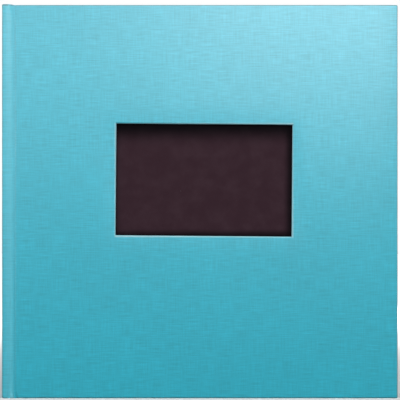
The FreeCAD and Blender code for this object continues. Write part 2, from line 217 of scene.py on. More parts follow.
def finish_with(piece: bpy.types.Object, kind: str, **settings: object) -> None:
    """Adds a modifier to a piece and applies it.

    Args:
        piece: the object to modify.
        kind: the modifier's type, such as SOLIDIFY.
        settings: values for the modifier.
    """
    take_up(piece)
    modifier = piece.modifiers.new(kind.title(), kind)
    for key, value in settings.items():
        setattr(modifier, key, value)
    bpy.ops.object.modifier_apply(modifier=modifier.name)


def smooth(piece: bpy.types.Object, degrees: float = 35.0) -> None:
    """Shades a piece smooth except across edges sharper than an angle."""
    take_up(piece)
    bpy.ops.object.shade_smooth_by_angle(angle=math.radians(degrees))


def wrap_uv(piece: bpy.types.Object, face_y: float) -> None:
    """Lays the weave's map over a boxy piece in metres, running on over its edges.

    Args:
        piece: the mesh object.
        face_y: the Y of the outer face, where the map is x and z themselves.
    """
    layer = piece.data.uv_layers.get("weave") or piece.data.uv_layers.new(name="weave")
    for polygon in piece.data.polygons:
        nx, ny, nz = polygon.normal
        for loop in polygon.loop_indices:
            x, y, z = piece.data.vertices[piece.data.loops[loop].vertex_index].co
            over = abs(y - face_y)
            if abs(ny) >= max(abs(nx), abs(nz)):
                layer.data[loop].uv = (x, z)
            elif abs(nx) >= abs(nz):
                layer.data[loop].uv = (x + math.copysign(over, nx), z)
            else:
                layer.data[loop].uv = (x, z + math.copysign(over, nz))
    piece.data.uv_layers.active = layer


def lay_sheet(
    name: str, columns: int, rows: int, shape: Callable[[int, int], Point]
) -> bpy.types.Object:
    """Adds a grid and lays each of its points in place, as a thin sheet is laid over what it covers.

    Args:
        name: the new object's name.
        columns: points along the sheet's first way.
        rows: points along its second way.
        shape: gives the place of the point in a column and row.

    Returns:
        The sheet, with the lengths along it, in metres, as its map called weave.
    """
    put_down_everything()
    bpy.ops.mesh.primitive_grid_add(
        x_subdivisions=columns - 1, y_subdivisions=rows - 1, size=2.0, calc_uvs=False
    )
    sheet = bpy.context.object
    sheet.name = sheet.data.name = name
    where: dict[int, tuple[int, int]] = {}
    for vertex in sheet.data.vertices:
        column = round((vertex.co.x + 1) / 2 * (columns - 1))
        row = round((vertex.co.y + 1) / 2 * (rows - 1))
        where[vertex.index] = (column, row)
    places = {key: Vector(shape(*key)) for key in set(where.values())}
    middle_row, middle_column = rows // 2, columns // 2
    along = [0.0]
    for column in range(1, columns):
        step = places[column, middle_row] - places[column - 1, middle_row]
        along.append(along[-1] + step.length)
    across = [0.0]
    for row in range(1, rows):
        step = places[middle_column, row] - places[middle_column, row - 1]
        across.append(across[-1] + step.length)
    for index, key in where.items():
        sheet.data.vertices[index].co = places[key]
    layer = sheet.data.uv_layers.new(name="weave")
    for loop in sheet.data.loops:
        column, row = where[loop.vertex_index]
        layer.data[loop.index].uv = (along[column], across[row])
    sheet.data.update()
    return sheet


def blend_step(t: float) -> float:
    """A smooth step from 0 to 1 as t goes from 0 to 1."""
    t = min(1.0, max(0.0, t))
    return t * t * (3 - 2 * t)


# ---------------------------------------------------------------------------------------------------------
# Shader node groups, each built once and placed in every material that needs it
# ---------------------------------------------------------------------------------------------------------


class Graph:
    """A node tree being wired: nodes by type, sockets by name or number."""

    def __init__(self, tree: bpy.types.NodeTree) -> None:
        """Args: tree: the tree to build in."""
        self.tree = tree

    def node(self, kind: str, wires: Optional[dict] = None, **settings: object) -> bpy.types.Node:
        """Adds a node.

        Args:
            kind: the node's type name.
            wires: for each input, the socket that feeds it or its plain value.
            settings: the node's own settings.

        Returns:
            The node.
        """
        made = self.tree.nodes.new(kind)
        for key, value in settings.items():
            setattr(made, key, value)
        for socket, value in (wires or {}).items():
            if isinstance(value, bpy.types.NodeSocket):
                self.tree.links.new(value, made.inputs[socket])
            else:
                made.inputs[socket].default_value = value
        return made

    def math(self, operation: str, *values: object, clamp: bool = False) -> bpy.types.NodeSocket:
        """A Math node's result from one to three sockets or numbers."""
        wires = dict(enumerate(values))
        return self.node("ShaderNodeMath", wires, operation=operation, use_clamp=clamp).outputs[0]

    def vector(self, operation: str, *values: object) -> bpy.types.NodeSocket:
        """A Vector Math node's vector result."""
        made = self.node("ShaderNodeVectorMath", dict(enumerate(values)), operation=operation)
        return made.outputs[0]

    def noise(self, place: object, scale: float = 1.0, detail: float = 2.0) -> bpy.types.NodeSocket:
        """A noise texture's value at a place."""
        wires = {"Vector": place, "Scale": scale, "Detail": detail, "Roughness": 0.55}
        return self.node("ShaderNodeTexNoise", wires).outputs[0]

    def ramp(
        self, value: object, low: float, high: float, to: tuple[float, float] = (0.0, 1.0)
    ) -> bpy.types.NodeSocket:
        """A value mapped smoothly from low..high to another range."""
        wires = {"Value": value, "From Min": low, "From Max": high, "To Min": to[0], "To Max": to[1]}
        return self.node("ShaderNodeMapRange", wires, interpolation_type="SMOOTHSTEP").outputs[0]

    def mix(self, factor: object, first: object, second: object) -> bpy.types.NodeSocket:
        """Mixes two colours.

        Args:
            factor: how much of the second colour shows, as a socket or a number.
            first: the first colour, as a socket or a plain colour.
            second: the second colour, likewise.

        Returns:
            The mixed colour.
        """
        made = self.node("ShaderNodeMix", data_type="RGBA", blend_type="MIX")
        for socket, value in zip((0, 6, 7), (factor, first, second)):
            if isinstance(value, bpy.types.NodeSocket):
                self.tree.links.new(value, made.inputs[socket])
            elif socket == 0:
                made.inputs[0].default_value = value
            else:
                made.inputs[socket].default_value = (*value[:3], 1.0)
        return made.outputs[2]


def new_group(name: str, takes: dict[str, object], gives: Sequence[str]) -> tuple:
    """Starts a shader node group.

    Args:
        name: the group's name.
        takes: its inputs' names and default values; a tuple makes a vector.
        gives: its outputs' names, all plain values.

    Returns:
        The group, its Graph, its input node's outputs and its output node's inputs.
    """
    tree = bpy.data.node_groups.new(name, "ShaderNodeTree")
    for key, value in takes.items():
        kind = "NodeSocketVector" if isinstance(value, tuple) else "NodeSocketFloat"
        tree.interface.new_socket(key, in_out="INPUT", socket_type=kind).default_value = value
    for key in gives:
        tree.interface.new_socket(key, in_out="OUTPUT", socket_type="NodeSocketFloat")
    entry = tree.nodes.new("NodeGroupInput")
    way_out = tree.nodes.new("NodeGroupOutput")
    return tree, Graph(tree), entry.outputs, way_out.inputs


def weave_group() -> bpy.types.NodeTree:
    """Plain weave with uneven threads: its height, and a shade for the slubs along and across.

    Returns:
        The node group.
    """
    takes = {"Vector": (0.0, 0.0, 0.0), "Threads": 2400.0, "Wander": 0.0004, "Slubs": 0.5}
    tree, graph, given, result = new_group("Plain weave", takes, ("Height", "Shade"))
    drift = graph.node("ShaderNodeTexNoise", {"Vector": given["Vector"], "Scale": 70.0, "Detail": 2.0})
    drift = graph.vector("SUBTRACT", drift.outputs["Color"], (0.5, 0.5, 0.5))
    drift = graph.node(
        "ShaderNodeVectorMath", {0: drift, "Scale": given["Wander"]}, operation="SCALE"
    ).outputs[0]
    place = graph.vector("ADD", given["Vector"], drift)
    scaled = graph.node(
        "ShaderNodeVectorMath", {0: place, "Scale": given["Threads"]}, operation="SCALE"
    ).outputs[0]
    parts = graph.node("ShaderNodeSeparateXYZ", {0: scaled}).outputs
    warp = graph.math("SINE", graph.math("MULTIPLY", parts[0], math.pi))
    weft = graph.math("SINE", graph.math("MULTIPLY", parts[1], math.pi))
    top = graph.math("MULTIPLY_ADD", graph.math("MULTIPLY", warp, weft), 1.6, 0.5, clamp=True)
    warp_high = graph.math("MULTIPLY", graph.math("ABSOLUTE", warp), top)
    weft_high = graph.math("MULTIPLY", graph.math("ABSOLUTE", weft), graph.math("SUBTRACT", 1.0, top))
    threads = graph.math("ADD", warp_high, weft_high)

    along = graph.noise(graph.vector("MULTIPLY", place, (75.0, 1250.0, 1.0)), detail=3.0)
    across = graph.noise(graph.vector("MULTIPLY", place, (1250.0, 60.0, 1.0)), detail=3.0)
    thick = graph.math("MULTIPLY", graph.ramp(along, 0.66, 0.78), 0.45)
    thin = graph.math("MULTIPLY", graph.ramp(along, 0.36, 0.26), -0.15)
    along = graph.math("MULTIPLY", graph.math("SUBTRACT", along, 0.5), 1.7)
    across = graph.math("MULTIPLY", graph.math("SUBTRACT", across, 0.5), 1.1)
    slubs = graph.math("ADD", graph.math("ADD", along, across), graph.math("ADD", thick, thin))
    slubs = graph.math("MULTIPLY", slubs, given["Slubs"])
    graph.tree.links.new(graph.math("MULTIPLY_ADD", slubs, 0.9, threads), result["Height"])
    graph.tree.links.new(slubs, result["Shade"])
    return tree


def paper_group() -> bpy.types.NodeTree:
    """Card and board: the felt-like tooth of the sheet, and slow cloudy mottling with short fibres.

    Returns:
        The node group.
    """
    takes = {"Vector": (0.0, 0.0, 0.0), "Tooth": 2600.0, "Clouds": 45.0, "Fibres": 0.3}
    tree, graph, given, result = new_group("Paper grain", takes, ("Height", "Mottle"))
    fine = graph.node(
        "ShaderNodeTexNoise", {"Vector": given["Vector"], "Scale": given["Tooth"], "Detail": 3.0}
    ).outputs[0]
    slow = graph.node(
        "ShaderNodeTexNoise", {"Vector": given["Vector"], "Scale": given["Clouds"], "Detail": 4.0}
    ).outputs[0]
    strands = graph.noise(graph.vector("MULTIPLY", given["Vector"], (420.0, 420.0, 2100.0)), detail=2.0)
    strands = graph.math("MULTIPLY", graph.ramp(strands, 0.58, 0.74), given["Fibres"])
    graph.tree.links.new(graph.math("ADD", fine, graph.math("MULTIPLY", strands, 0.6)), result["Height"])
    mottle = graph.math("ADD", graph.math("SUBTRACT", slow, 0.5), graph.math("MULTIPLY", strands, 0.5))
    graph.tree.links.new(mottle, result["Mottle"])
    return tree


def edge_band_group() -> bpy.types.NodeTree:
    """A broken band along a box's edges, or along a rectangle's outline if half its depth is negative.

    Returns:
        The node group.
    """
    takes = {
        "Vector": (0.0, 0.0, 0.0), "Centre": (0.0, 0.0, 0.0), "Half size": (0.1, -1.0, 0.1),
        "Inside": 0.001, "Outside": 0.001, "Broken": 0.3,
    }
    tree, graph, given, result = new_group("Edge wear", takes, ("Mask",))
    offset = graph.vector("ABSOLUTE", graph.vector("SUBTRACT", given["Vector"], given["Centre"]))
    past = graph.vector("SUBTRACT", offset, given["Half size"])
    parts = graph.node("ShaderNodeSeparateXYZ", {0: past}).outputs
    higher, lower = (graph.math(word, parts[0], parts[2]) for word in ("MAXIMUM", "MINIMUM"))
    distance = graph.math("MAXIMUM", lower, graph.math("MINIMUM", higher, parts[1]))
    out = graph.math("DIVIDE", distance, given["Outside"])
    into = graph.math("DIVIDE", graph.math("MULTIPLY", distance, -1.0), given["Inside"])
    reach = graph.math("MAXIMUM", out, into)
    band = graph.ramp(reach, 1.0, 0.35)
    patch = graph.noise(given["Vector"], 260.0, 3.0)
    patch = graph.math("MULTIPLY", graph.ramp(patch, 0.35, 0.65), given["Broken"])
    graph.tree.links.new(graph.math("MULTIPLY", band, graph.math("SUBTRACT", 1.0, patch)), result["Mask"])
    return tree


def dust_group() -> bpy.types.NodeTree:
    """A few pale specks scattered over a dark surface.

    Returns:
        The node group.
    """
    takes = {"Vector": (0.0, 0.0, 0.0), "Per metre": 60.0, "Speck": 0.02}
    tree, graph, given, result = new_group("Dust", takes, ("Mask",))
    cells = graph.node("ShaderNodeTexVoronoi", {"Vector": given["Vector"], "Scale": given["Per metre"]})
    near = graph.math("LESS_THAN", cells.outputs["Distance"], given["Speck"])
    tone = graph.node("ShaderNodeSeparateColor", {0: cells.outputs["Color"]}).outputs[0]
    graph.tree.links.new(graph.math("MULTIPLY", near, graph.ramp(tone, 0.55, 0.95)), result["Mask"])
    return tree


def recess_shade_group() -> bpy.types.NodeTree:
    """Painted shade for a card behind a window: 1 in the open, 0 under the window's edges, where the
    window's recess shades it.

    Returns:
        The node group.
    """
    takes = {
        "Vector": (0.0, 0.0, 0.0), "Low": (-0.1, 0.0, -0.1), "High": (0.1, 0.0, 0.1),
        "Low soft": (0.001, 1.0, 0.001), "High soft": (0.001, 1.0, 0.001),
    }
    tree, graph, given, result = new_group("Fading", takes, ("Mask",))
    drift = graph.noise(given["Vector"], 90.0, 2.0)
    drift = graph.math("MULTIPLY_ADD", drift, 0.0012, -0.0006)
    place = graph.vector("ADD", given["Vector"], drift)
    low = graph.vector("DIVIDE", graph.vector("SUBTRACT", place, given["Low"]), given["Low soft"])
    high = graph.vector("DIVIDE", graph.vector("SUBTRACT", given["High"], place), given["High soft"])
    mask: Optional[bpy.types.NodeSocket] = None
    for way in (low, high):
        parts = graph.node("ShaderNodeSeparateXYZ", {0: way}).outputs
        for part in (parts[0], parts[2]):
            step = graph.ramp(part, 0.0, 1.0)
            mask = step if mask is None else graph.math("MULTIPLY", mask, step)
    graph.tree.links.new(mask, result["Mask"])
    return tree


class Groups:
    """The node groups of the album's finishes, each built once."""

    def __init__(self) -> None:
        """Builds the groups."""
        self.weave = weave_group()
        self.paper = paper_group()
        self.wear_and_light = edge_band_group()
        self.dust = dust_group()
        self.fading = recess_shade_group()


class Recipe:
    """One material being put together: a Principled shader and what feeds it."""

    def __init__(self, name: str) -> None:
        """Starts the material.

        Args:
            name: the material's name.
        """
        self.material = bpy.data.materials.new(name)
        self.material.use_nodes = True
        self.graph = Graph(self.material.node_tree)
        self.shader = next(n for n in self.graph.tree.nodes if n.type == "BSDF_PRINCIPLED")
        self.place = self.graph.node("ShaderNodeTexCoord").outputs["Object"]

    def set(self, **values: float) -> None:
        """Sets plain values on the shader's own sockets, named with underscores for spaces."""
        for key, value in values.items():
            self.shader.inputs[key.replace("_", " ")].default_value = value

    def group(self, tree: bpy.types.NodeTree, **wires: object) -> bpy.types.bpy_prop_collection:
        """Places a node group.

        Args:
            tree: the group.
            wires: what feeds its inputs, whose names have underscores for spaces.

        Returns:
            The placed group's outputs.
        """
        named = {key.replace("_", " "): value for key, value in wires.items()}
        return self.graph.node("ShaderNodeGroup", named, node_tree=tree).outputs

    def band_mask(self, groups: "Groups", patch: "WearAndPaintedLightBand", broken: float) -> bpy.types.NodeSocket:
        """The mask of one band of colour: real scuffing, painted light or painted shade.

        Args:
            groups: the shared node groups.
            patch: the band.
            broken: how patchy it is.

        Returns:
            The mask.
        """
        outputs = self.group(
            groups.wear_and_light, Vector=self.place, Centre=patch.centre, Half_size=patch.half,
            Inside=patch.inside, Outside=patch.outside, Broken=broken,
        )
        return self.graph.math("MULTIPLY", outputs["Mask"], patch.strength)

    def feed(self, socket: str, source: bpy.types.NodeSocket) -> None:
        """Wires a socket into the shader."""
        self.graph.tree.links.new(source, self.shader.inputs[socket])

    def bump(self, height: bpy.types.NodeSocket, distance: float, strength: float = 1.0) -> None:
        """Feeds a height through a Bump node into the shader's normal."""
        wires = {"Height": height, "Distance": distance, "Strength": strength}
        self.feed("Normal", self.graph.node("ShaderNodeBump", wires).outputs[0])


# ---------------------------------------------------------------------------------------------------------
# Finishes
# ---------------------------------------------------------------------------------------------------------


@dataclass(frozen=True)
class WearAndPaintedLightBand:
    """A band of colour along the edges of a box, or along the outline of an upright rectangle, for real
    scuffing and for painted light and shade.

    Attributes:
        centre: the box's middle.
        half: half its size, with a negative y for a rectangle's outline.
        inside: how far the band reaches inwards.
        outside: how far it reaches outwards.
        colour: the band's colour.
        strength: how strong the band is.
    """

    centre: Point
    half: Point
    inside: float
    outside: float
    colour: Colour
    strength: float = 1.0


@dataclass(frozen=True)
class ClothFinish:
    """A woven cloth.

    Attributes:
        name: the material's name.
        colour: the dyed thread.
        threads: threads per metre.
        slubs: how uneven the threads are.
        shade: how much the slubs lighten and darken the colour.
        relief: the weave's height.
        roughness: the surface's roughness.
        gloss: the specular level.
        filling: how much of the filling that stiffens the cloth lies on top of it.
    """

    name: str
    colour: Colour
    threads: float = 2400.0
    slubs: float = 0.5
    shade: float = 0.25
    relief: float = 0.000010
    roughness: float = 0.34
    gloss: float = 1.0
    filling: float = 0.8

    def make(self, groups: Groups, wear_and_light_bands: Sequence[WearAndPaintedLightBand] = ()) -> bpy.types.Material:
        """Builds the material.

        Args:
            groups: the shared node groups.
            wear_and_light_bands: bands of colour mixed in, for real scuffing and for painted light and
                shade.

        Returns:
            The material.
        """
        recipe = Recipe(self.name)
        graph = recipe.graph
        lie = graph.node("ShaderNodeUVMap", uv_map="weave").outputs[0]
        cloth = recipe.group(groups.weave, Vector=lie, Threads=self.threads, Slubs=self.slubs)
        light = graph.ramp(cloth["Shade"], -0.45, 0.45, (1.0 - self.shade, 1.0 + self.shade))
        cloud = graph.noise(graph.vector("MULTIPLY", lie, (14.0, 14.0, 14.0)), detail=3.0)
        light = graph.math("MULTIPLY", light, graph.ramp(cloud, 0.3, 0.7, (0.975, 1.025)))
        colour = graph.vector("SCALE", self.colour)
        colour.node.inputs[0].default_value = self.colour
        graph.tree.links.new(light, colour.node.inputs["Scale"])
        dull = 0.0
        # Each band mixes its colour in and dulls the cloth: real scuffing round the window, painted light
        # on the joints, painted shade on the outer edges.
        for patch in wear_and_light_bands:
            mask = recipe.band_mask(groups, patch, 0.3)
            colour = graph.mix(mask, colour, patch.colour)
            dull = graph.math("MAXIMUM", dull, mask)
        recipe.feed("Base Color", colour)
        rough = graph.ramp(cloth["Height"], 0.2, 1.0, (self.roughness + 0.1, self.roughness - 0.03))
        if wear_and_light_bands:
            rough = graph.math("MULTIPLY_ADD", graph.math("SUBTRACT", 0.85, rough), dull, rough)
            coat = graph.ramp(cloth["Shade"], -0.45, 0.45, (self.filling - 0.35, self.filling + 0.35))
            recipe.feed("Coat Weight", graph.math("MULTIPLY", graph.math("SUBTRACT", 1.0, dull), coat))
        recipe.feed("Roughness", rough)
        recipe.bump(cloth["Height"], self.relief)
        recipe.set(Specular_IOR_Level=self.gloss, Coat_Weight=self.filling, Coat_Roughness=0.33)
        return recipe.material


@dataclass(frozen=True)
class Fading:
    """Painted shade on a card behind a window: the shade of the window's recess, darkest under its edges
    and widest under its head.

    Attributes:
        low: the window's lower left corner.
        high: its upper right corner.
        low_soft: how wide the painted shade is at the left and at the foot.
        high_soft: how wide it is at the right and at the head.
        shadow_colour: the painted shadow colour under the window's edges.
    """

    low: Point
    high: Point
    low_soft: Point
    high_soft: Point
    shadow_colour: Colour


@dataclass(frozen=True)
class CardFinish:
    """Card, paper or board.

    Attributes:
        name: the material's name.
        colour: its body colour.
        light: the colour of its lighter clouds and fibres.
        tooth: grains per metre.
        clouds: clouds per metre.
        fibres: how much the fibres show.
        relief: the tooth's height.
        roughness: the surface's roughness.
        dust: how strongly pale specks of dust show.
        gloss: the specular level.
        fading: the painted shade of a window's recess, if any.
    """

    name: str
    colour: Colour
    light: Colour
    tooth: float = 2600.0
    clouds: float = 45.0
    fibres: float = 0.3
    relief: float = 0.00003
    roughness: float = 0.8
    dust: float = 0.0
    gloss: float = 0.3
    fading: Optional[Fading] = None

    def make(self, groups: Groups, wear_and_light_bands: Sequence[WearAndPaintedLightBand] = ()) -> bpy.types.Material:
        """Builds the material.

        Args:
            groups: the shared node groups.
            wear_and_light_bands: bands of colour mixed in, for real scuffing and for painted light and
                shade.

        Returns:
            The material.
        """
        recipe = Recipe(self.name)
        graph = recipe.graph
        paper = recipe.group(
            groups.paper, Vector=recipe.place, Tooth=self.tooth, Clouds=self.clouds, Fibres=self.fibres
        )
        colour = graph.mix(graph.ramp(paper["Mottle"], -0.22, 0.32), self.colour, self.light)
        for patch in wear_and_light_bands:
            colour = graph.mix(recipe.band_mask(groups, patch, 0.8), colour, patch.colour)
        # Painted shade: under the window's edges the card goes dark, as the window's recess shades it,
        # widest under the head.
        if self.fading is not None:
            shade_of_recess = self.fading
            light = recipe.group(
                groups.fading, Vector=recipe.place, Low=shade_of_recess.low, High=shade_of_recess.high,
                Low_soft=shade_of_recess.low_soft, High_soft=shade_of_recess.high_soft,
            )["Mask"]
            colour = graph.mix(light, shade_of_recess.shadow_colour, colour)
        if self.dust:
            specks = recipe.group(groups.dust, Vector=recipe.place, Per_metre=75.0, Speck=0.03)["Mask"]
            colour = graph.mix(graph.math("MULTIPLY", specks, self.dust), colour, (0.20, 0.18, 0.19))
        recipe.feed("Base Color", colour)
        recipe.feed(
            "Roughness",
            graph.ramp(paper["Mottle"], -0.3, 0.3, (self.roughness + 0.06, self.roughness - 0.06)),
        )
        recipe.bump(paper["Height"], self.relief)
        recipe.set(Specular_IOR_Level=self.gloss)
        return recipe.material


@dataclass(frozen=True)
class MetalFinish:
    """Plated metal with fine turning marks.

    Attributes:
        name: the material's name.
        colour: the metal's colour.
        roughness: the surface's roughness.
    """

    name: str
    colour: Colour
    roughness: float = 0.28

    def make(self, groups: Groups) -> bpy.types.Material:
        """Builds the material.

        Args:
            groups: the shared node groups.

        Returns:
            The material.
        """
        recipe = Recipe(self.name)
        graph = recipe.graph
        streaks = graph.noise(graph.vector("MULTIPLY", recipe.place, (3500.0, 500.0, 300.0)), detail=3.0)
        tarnish = recipe.group(groups.paper, Vector=recipe.place, Tooth=900.0, Clouds=220.0)["Mottle"]
        dull = tuple(c * 0.55 for c in self.colour)
        colour = graph.mix(graph.ramp(tarnish, -0.05, 0.4), self.colour, dull)
        recipe.feed("Base Color", colour)
        uneven = (self.roughness - 0.06, self.roughness + 0.12)
        recipe.feed("Roughness", graph.ramp(streaks, 0.3, 0.7, uneven))
        recipe.bump(streaks, 0.00001)
        recipe.set(Metallic=1.0)
        return recipe.material


def dress(piece: bpy.types.Object, material: bpy.types.Material) -> None:
    """Gives a piece one material all over.

    Args:
        piece: the object to dress.
        material: its material.
    """
    if not piece.material_slots:
        piece.data.materials.append(material)
    for place in piece.material_slots:
        place.material = material


def dress_node(node: str, material: bpy.types.Material) -> None:
    """Gives a CAD node one material all over."""
    dress(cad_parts[node], material)


# ---------------------------------------------------------------------------------------------------------
# Sizes read from the imported model, and a few given
# ---------------------------------------------------------------------------------------------------------


BOOKCLOTH_THICK = 0.4 * MM
WINDOW = (-67.85 * MM, 74.65 * MM, 131.15 * MM, 221.65 * MM)
LEAF_COUNT = 20


@dataclass(frozen=True)
class Sizes:
    """The album's main places, read from the CAD nodes' boxes, with the cloth's thickness and the window
    given.

    Attributes:
        near: the covers' near edges, at the joints.
        fore: the covers' fore edges.
        spine: the spine's outer face.
        spine_inner: the inner face of the spine's cloth.
        tall: the height.
        deep: half the thickness.
        cover: thickness of a cover's cloth and board together.
        cloth: thickness of the bookcloth.
        window: the window's left, right, foot and head.
    """

    near: float
    fore: float
    spine: float
    spine_inner: float
    tall: float
    deep: float
    cover: float
    cloth: float
    window: tuple[float, float, float, float]


def read_sizes() -> Sizes:
    """Reads the sizes from the CAD nodes' boxes; the cloth's thickness and the window are given.

    Returns:
        The sizes.
    """
    cloth_low, cloth_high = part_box("front_cloth")
    spine_low, spine_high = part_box("spine_cloth")
    return Sizes(
        near=cloth_low[0],
        fore=cloth_high[0],
        spine=spine_low[0],
        spine_inner=spine_high[0],
        tall=cloth_high[2],
        deep=-cloth_low[1],
        cover=cloth_high[1] - cloth_low[1],
        cloth=BOOKCLOTH_THICK,
        window=WINDOW,
    )


# ---------------------------------------------------------------------------------------------------------
# Sub-assemblies
# ---------------------------------------------------------------------------------------------------------


@dataclass
class Cover:
    """One cover's bookcloth, with its turn-ins, and the greyboard inside it.

    Attributes:
        side: which cover it is.
        sizes: the album's places.
        edge_round: radius of the outer arrises.
        lip_round: radius of the cloth rolled into the window.
        turn_in: cloth folded over onto the inner face.
        pinch: how far the near corner is drawn in at the tail, where the folded cloth is thick.
        pinch_tall: height of that.
        pinch_wide: how far from the near edge it is felt.
        head_pinch: the share of it that the head's corner has.
        head_pinch_tall: height of that.
        pinch_power: how quickly both grow towards the corner.
        window_turn: how far out of square the hand-cut window is.
        window_rim: the strip round the window that turns with it in full.
        near_cuts: distances from the near edge where the block gets an extra row of points.
        end_cuts: the same, from head and tail.
    """

    side: Side
    sizes: Sizes
    edge_round: float = 1.0 * MM
    lip_round: float = 1.25 * MM
    turn_in: float = 15.0 * MM
    pinch: float = 2.0 * MM
    pinch_tall: float = 13.0 * MM
    pinch_wide: float = 14.0 * MM
    head_pinch: float = 0.22
    head_pinch_tall: float = 10.0 * MM
    pinch_power: float = 1.7
    window_turn: float = math.radians(-0.45)
    window_rim: float = 3.0 * MM
    near_cuts: tuple[float, ...] = (2.5 * MM, 6.0 * MM, 10.0 * MM, 14.0 * MM)
    end_cuts: tuple[float, ...] = (1.5 * MM, 3.0 * MM, 5.0 * MM, 7.5 * MM, 10.5 * MM, 14.0 * MM)

    def _y(self, depth: float) -> float:
        """The Y of a depth under this cover's outer face."""
        return self.side.value * (depth - self.sizes.deep)

    def pinched(self, place: Vector) -> Vector:
        """Draws in the near corners, more at the tail than at the head.

        Args:
            place: a place on the cover before that.

        Returns:
            Where it ends up.
        """
        moved = place.copy()
        near = blend_step(1.0 - (place.x - self.sizes.near) / self.pinch_wide)
        tail = max(0.0, 1.0 - place.z / self.pinch_tall) ** self.pinch_power
        head = max(0.0, 1.0 - (self.sizes.tall - place.z) / self.head_pinch_tall) ** self.pinch_power
        moved.x += near * (self.pinch * tail + self.head_pinch * self.pinch * head)
        return moved

    def _turned(self, place: Vector) -> Vector:
        """Turns the front cover's window a little out of square.

        Args:
            place: a place on the cover before that.

        Returns:
            Where it ends up.
        """
        left, right, foot, head = self.sizes.window
        middle = Vector(((left + right) / 2, place.y, (foot + head) / 2))
        off = place - middle
        away = max(abs(off.x) - (right - left) / 2, abs(off.z) - (head - foot) / 2)
        turn = self.window_turn * blend_step((self.turn_in - away) / (self.turn_in - self.window_rim))
        x = off.x * math.cos(turn) - off.z * math.sin(turn)
        z = off.x * math.sin(turn) + off.z * math.cos(turn)
        return middle + Vector((x, 0.0, z))

    def _block(self, name: str, inset: float) -> bpy.types.Object:
        """Shapes the cover's rounded block, with its window.

        Args:
            name: the new object's name.
            inset: how much it is shrunk on every side.

        Returns:
            The block.
        """
        sizes, flat = self.sizes, 1e-6
        ends = sorted((self._y(inset), self._y(sizes.cover - inset)))
        made = block(
            name, (sizes.near + inset, ends[0], inset), (sizes.fore - inset, ends[1], sizes.tall - inset)
        )
        outer = self._y(inset)
        left, right, foot, head = sizes.window
        hole = (left - inset, right + inset, foot - inset, head + inset)
        turn = self.turn_in

        def in_window(*places: Vector) -> bool:
            """Whether all of some points lie in the window or on its outline."""
            return all(
                hole[0] - flat < p.x < hole[1] + flat and hole[2] - flat < p.z < hole[3] + flat
                for p in places
            )

        with Bench(made) as bench:
            across = [sizes.near + d for d in self.near_cuts] + [sizes.fore - turn]
            up = [*self.end_cuts, self.pinch_tall] + [sizes.tall - d for d in self.end_cuts[:5]]
            up += [turn + inset, sizes.tall - turn - inset]
            if self.side is Side.FRONT:
                across += [hole[0], hole[1], hole[0] - turn, hole[1] + turn]
                up += [hole[2], hole[3], hole[2] - turn, hole[3] + turn]
            bench.cut(0, across)
            bench.cut(2, up)
            if self.side is Side.FRONT:
                bench.faces(
                    lambda c, n: abs(n.y) > 0.9 and hole[0] < c.x < hole[1] and hole[2] < c.z < hole[3]
                )
                bpy.ops.mesh.delete(type="FACE")
                bench.edges(lambda a, b: a.y == b.y and in_window(a, b))
                bpy.ops.mesh.bridge_edge_loops()
        for vertex in made.data.vertices:
            vertex.co = self.pinched(vertex.co)

        def on_outer(a: Vector, b: Vector) -> bool:
            """Whether an edge lies in the outer face."""
            return abs(a.y - outer) < flat and abs(b.y - outer) < flat

        def at_near(p: Vector) -> bool:
            """Whether a point is on the near wall, which is drawn in at its ends."""
            start = Vector((sizes.near + inset, p.y, p.z))
            return abs(p.x - self.pinched(start).x) < 2e-5

        def on_rim(a: Vector, b: Vector) -> bool:
            """Whether an edge runs along the block's own outline, or down one of its four corners.

            Args:
                a: one end of the edge.
                b: the other end.

            Returns:
                Yes or no.
            """
            sides = (
                lambda p: abs(p.z - inset) < flat,
                lambda p: abs(p.z - sizes.tall + inset) < flat,
                lambda p: abs(p.x - sizes.fore + inset) < flat,
                at_near,
            )
            shared = [side for side in sides if side(a) and side(b)]
            return bool(shared) and (on_outer(a, b) or (abs(a.y - b.y) > flat and len(shared) > 1))

        with Bench(made) as bench:
            if self.side is Side.FRONT:
                bench.edges(lambda a, b: on_outer(a, b) and in_window(a, b))
                bpy.ops.mesh.bevel(offset=self.lip_round - inset, segments=5, profile=0.5, affect="EDGES")
            bench.edges(on_rim)
            bpy.ops.mesh.bevel(offset=self.edge_round - inset, segments=5, profile=0.5, affect="EDGES")
        if self.side is Side.FRONT:
            for vertex in made.data.vertices:
                vertex.co = self._turned(vertex.co)
        return made

    def cloth(self) -> bpy.types.Object:
        """Models the cover's cloth: a skin over the block, open on the inner face past its turn-ins.

        Returns:
            The cloth.
        """
        sizes, turn = self.sizes, self.turn_in
        skin = self._block(self.side.word + "_cover_cloth", 0.0)
        inner = self._y(sizes.cover)
        left, right, foot, head = sizes.window
        front = self.side is Side.FRONT

        def bare(c: Vector, n: Vector) -> bool:
            """Whether a face has no cloth, being on the inner side past the turn-ins.

            Args:
                c: the face's middle.
                n: its normal.

            Returns:
                Yes or no.
            """
            if abs(c.y - inner) > 1e-5 or abs(n.y) < 0.9:
                return False
            inside = c.x < sizes.fore - turn and turn < c.z < sizes.tall - turn
            round_window = front and (
                left - turn < c.x < right + turn and foot - turn < c.z < head + turn
            )
            return inside and not round_window

        with Bench(skin) as bench:
            bench.faces(bare)
            bpy.ops.mesh.delete(type="FACE")
        finish_with(skin, "SOLIDIFY", thickness=sizes.cloth, offset=-1.0)
        wrap_uv(skin, self._y(0.0))
        smooth(skin)
        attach(skin, cover_body(self.side))
        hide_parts(self.side.word + "_cloth")
        wide = sizes.fore - sizes.near + 2 * sizes.cover + turn
        tall = sizes.tall + 2 * (sizes.cover + turn)
        area = wide * tall
        if front:
            area -= (right - left - 2 * turn) * (head - foot - 2 * turn)
        return skin

    def board(self) -> bpy.types.Object:
        """Models the greyboard inside the cloth.

        Returns:
            The board.
        """
        made = self._block(self.side.word + "_cover_board", self.sizes.cloth + 0.02 * MM)
        smooth(made)
        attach(made, cover_body(self.side))
        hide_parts(self.side.word + "_board")
        return made


